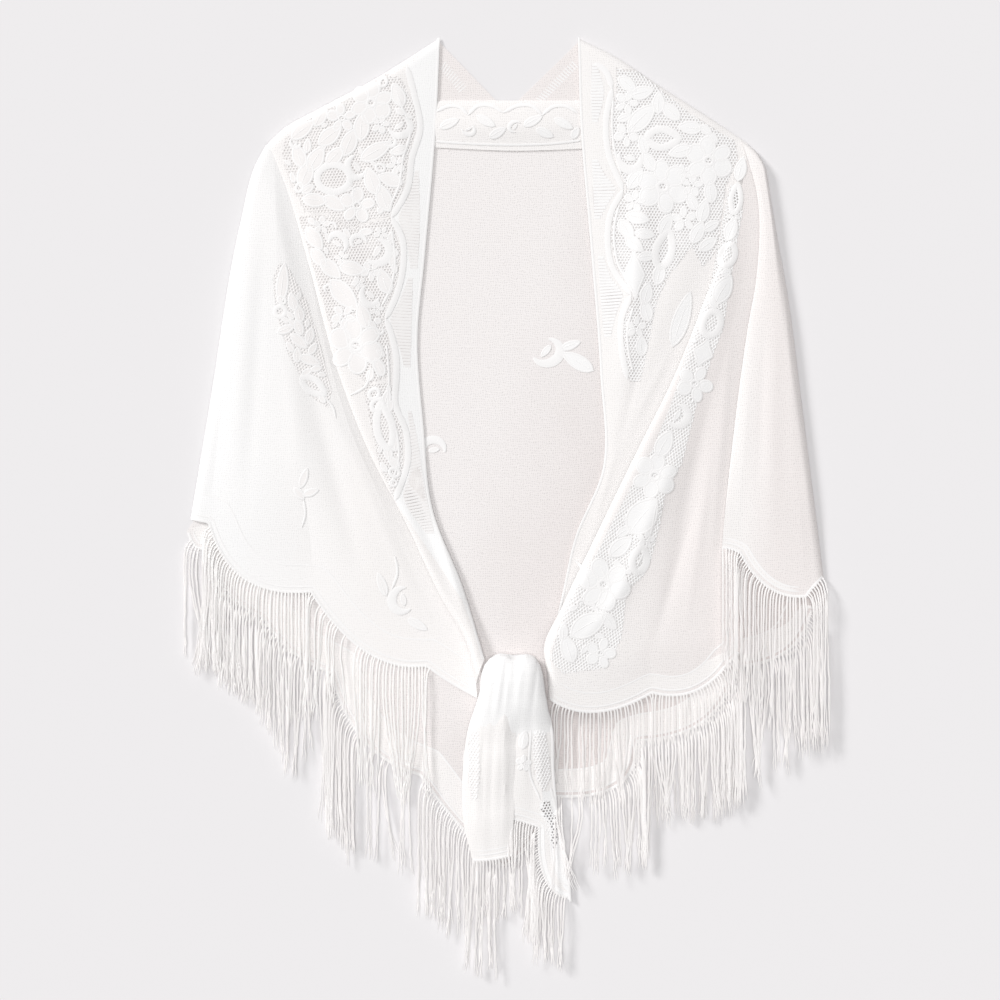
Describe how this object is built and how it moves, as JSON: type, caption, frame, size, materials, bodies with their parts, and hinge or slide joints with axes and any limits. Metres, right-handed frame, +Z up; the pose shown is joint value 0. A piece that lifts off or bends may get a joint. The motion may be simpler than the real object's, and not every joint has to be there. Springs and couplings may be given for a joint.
{
  "type": "lace shawl",
  "caption": "Fringed lace shawl laid flat, fronts folded in over the back and the ends tied in a knot.",
  "frame": {"origin": "middle of the laid-out shawl's box, on the surface that it lies on", "axes": "+Z up from the surface, +Y towards the neck, +X to the right as seen from above"},
  "size_m": [0.544, 0.7994, 0.0264],
  "materials": {
    "lace_cloth": "soft off-white lace with a slight sheen",
    "fringe_yarn": "soft off-white yarn"
  },
  "bodies": {
    "root": {"back_panel": "lace_cloth", "neck_fold_band": "lace_cloth", "neck_edge_left": "lace_cloth", "neck_edge_right": "lace_cloth", "left_wing": "lace_cloth", "left_lapel": "lace_cloth", "right_lapel": "lace_cloth", "right_front": "lace_cloth", "right_wing": "lace_cloth", "tail_wide": "lace_cloth", "tail_pointed": "lace_cloth", "knot": "lace_cloth", "fringe_left_front": "fringe_yarn", "fringe_right_front": "fringe_yarn", "fringe_right_wing": "fringe_yarn", "fringe_back_left": "fringe_yarn", "fringe_back_right": "fringe_yarn", "fringe_tail_wide": "fringe_yarn", "fringe_tail_pointed": "fringe_yarn"}
  },
  "joints": []
}
